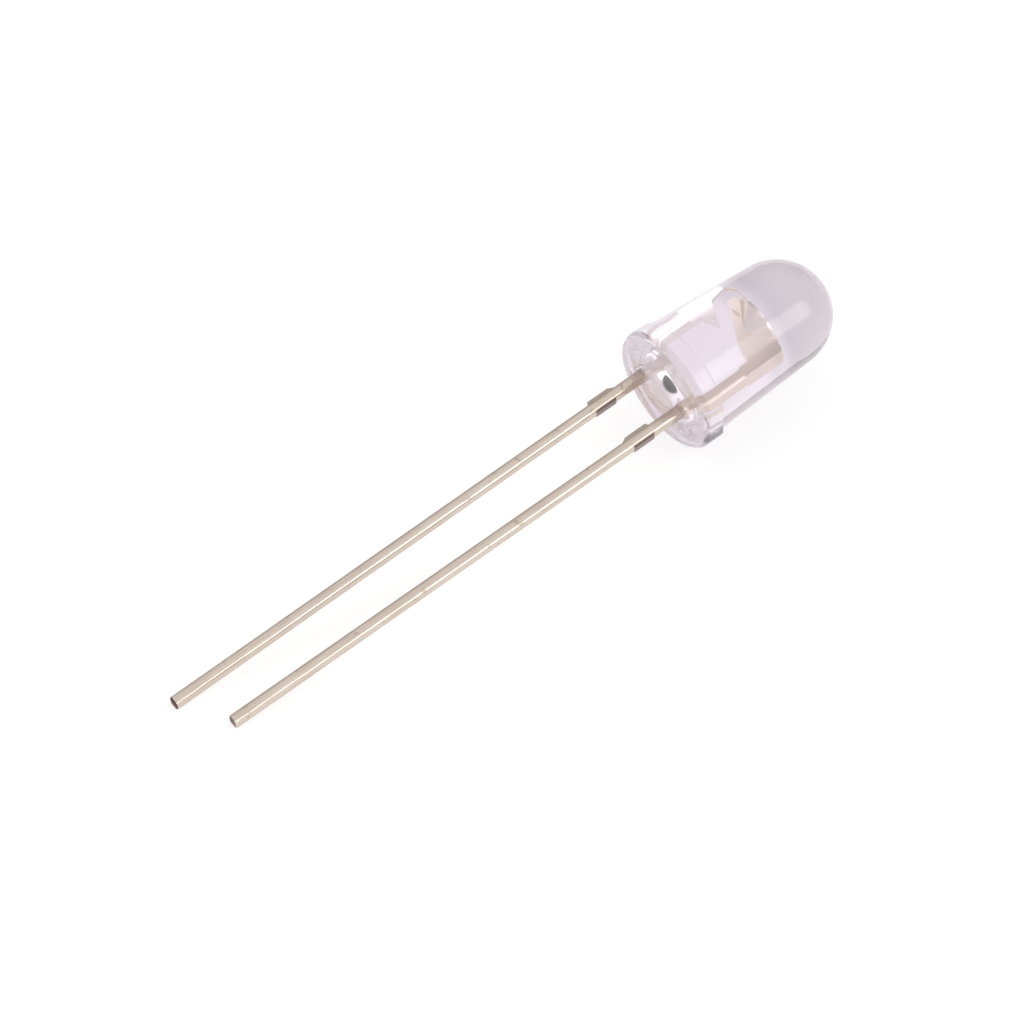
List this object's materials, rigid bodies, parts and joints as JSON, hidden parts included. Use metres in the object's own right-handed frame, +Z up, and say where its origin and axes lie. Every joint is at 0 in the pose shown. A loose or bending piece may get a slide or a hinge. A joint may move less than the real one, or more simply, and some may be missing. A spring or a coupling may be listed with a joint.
{
  "type": "through-hole LED",
  "caption": "Round water-clear LED with a half-round dome, a flanged foot with a cathode flat, and square leads with sheared tie-bar stubs.",
  "frame": {"origin": "centre of the bounding box's base, on the table that the lamp lies on", "axes": "+X from the lead tips towards the dome, which points a few degrees upwards, +Z up from the table, +Y towards the long lead's side"},
  "size_m": [0.034, 0.0058, 0.0061],
  "materials": {
    "clear_epoxy": "moulded water-clear epoxy, polished",
    "tinned_steel": "warm satin tin plating over stamped steel",
    "silver_adhesive": "matt silver-filled adhesive",
    "semiconductor": "sawn semiconductor",
    "gold_wire": "bright drawn gold"
  },
  "bodies": {
    "root": {"epoxy_lens": "clear_epoxy", "cathode_lead": "tinned_steel", "anode_lead": "tinned_steel", "die_attach": "silver_adhesive", "led_chip": "semiconductor", "bond_wire": "gold_wire"}
  },
  "joints": []
}
